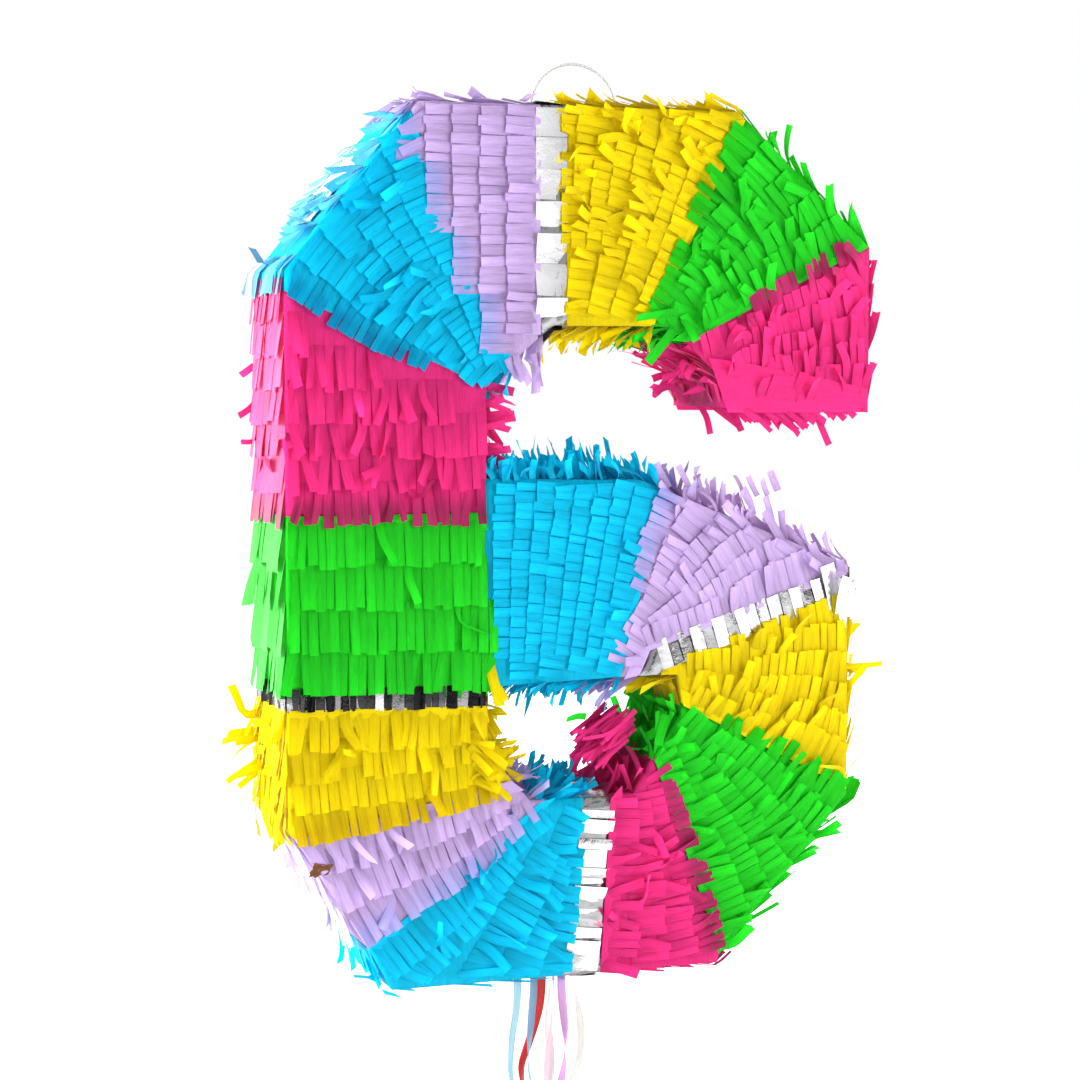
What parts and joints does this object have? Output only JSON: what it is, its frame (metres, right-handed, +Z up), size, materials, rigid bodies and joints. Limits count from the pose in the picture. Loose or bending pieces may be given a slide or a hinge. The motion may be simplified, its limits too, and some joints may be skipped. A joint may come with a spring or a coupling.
{
  "type": "pull-ribbon pinata",
  "caption": "Number-shaped pull-ribbon pinata: a cardboard box in fringed tissue and foil bands, with a hanging loop, fill flap, trapdoor and hanging ribbons.",
  "frame": {"origin": "inside top of the hanging loop, where a hook or cord bears, at the middle of the depth", "axes": "+Z up, +X to the right across the front, +Y from the front to the back"},
  "size_m": [0.358, 0.08, 0.678],
  "materials": {
    "nylon": "gloss",
    "cardboard": "matte",
    "white_card": "satin",
    "tissue_pink": "matte",
    "tissue_green": "matte",
    "tissue_yellow": "matte",
    "tissue_lilac": "matte",
    "tissue_blue": "matte",
    "foil": "gloss",
    "ribbon_light_blue": "satin",
    "ribbon_pink": "satin",
    "ribbon_lilac": "satin",
    "ribbon_dusty_blue": "satin",
    "ribbon_white": "satin",
    "ribbon_cream": "satin",
    "ribbon_red": "gloss",
    "tie": "matte"
  },
  "bodies": {
    "hanger": {"hanging_loop": "nylon"},
    "shell": {"hanger_plate": "cardboard", "front_panel": "cardboard", "back_panel": "cardboard", "wall_base_left": "cardboard", "wall_leg_outer": "cardboard", "wall_top_left": "cardboard", "wall_top": "cardboard", "wall_top_right": "cardboard", "wall_hook_outer": "cardboard", "wall_hook_end": "cardboard", "wall_hook_inner": "cardboard", "wall_hook_curve": "cardboard", "wall_counter_top": "cardboard", "wall_counter_curve": "cardboard", "wall_counter_leg": "cardboard", "wall_bowl_top": "cardboard", "wall_bowl_shoulder": "cardboard", "wall_bowl_outer": "cardboard", "wall_base_right": "cardboard", "wall_base": "cardboard", "wall_hole_top": "cardboard", "wall_hole_right": "cardboard", "wall_hole_lower_right": "cardboard", "wall_hole_base": "cardboard", "wall_hole_lower_left": "cardboard", "wall_hole_left": "cardboard", "fringe_hook_pink": "tissue_pink", "fringe_hook_green": "tissue_green", "fringe_top_yellow": "tissue_yellow", "fringe_top_foil": "foil", "fringe_top_lilac": "tissue_lilac", "fringe_top_blue": "tissue_blue", "fringe_leg_pink": "tissue_pink", "fringe_leg_green": "tissue_green", "fringe_leg_foil": "foil", "fringe_leg_yellow": "tissue_yellow", "fringe_base_lilac": "tissue_lilac", "fringe_base_blue": "tissue_blue", "fringe_base_foil": "foil", "fringe_base_pink": "tissue_pink", "fringe_bowl_green": "tissue_green", "fringe_bowl_yellow": "tissue_yellow", "fringe_bowl_foil": "foil", "fringe_bowl_lilac": "tissue_lilac", "fringe_bowl_blue": "tissue_blue", "ribbon_light_blue": "ribbon_light_blue", "ribbon_pink": "ribbon_pink", "ribbon_lilac": "ribbon_lilac", "ribbon_dusty_blue": "ribbon_dusty_blue", "ribbon_white": "ribbon_white", "ribbon_cream": "ribbon_cream", "ribbon_coil": "ribbon_lilac", "ribbon_tie": "tie"},
    "trapdoor": {"trapdoor": "cardboard"},
    "fill_flap": {"fill_flap": "white_card"},
    "release_ribbon": {"release_ribbon": "ribbon_red", "release_coil": "ribbon_red", "release_tie": "tie"}
  },
  "joints": [
    {"name": "loop_swing", "type": "hinge", "parent": "hanger", "child": "shell", "pos_m": [0, 0, -0.03405], "axis": [1, 0, 0], "range_deg": [-45, 45]},
    {"name": "trapdoor_hinge", "type": "hinge", "parent": "shell", "child": "trapdoor", "pos_m": [-0.028, 0.026, -0.522], "axis": [1, 0, 0], "range_deg": [0, 100]},
    {"name": "release_ribbon_hang", "type": "hinge", "parent": "trapdoor", "child": "release_ribbon", "pos_m": [-0.026, -0.0215, -0.5232], "axis": [1, 0, 0], "range_deg": [-100, 0]},
    {"name": "fill_flap_fold", "type": "hinge", "parent": "shell", "child": "fill_flap", "pos_m": [-0.12034, 0, -0.04678], "axis": [0, 1, 0], "range_deg": [0, 110]}
  ],
  "couplings": [
    {"joint": "release_ribbon_hang", "follows": "trapdoor_hinge", "ratio": -1}
  ]
}
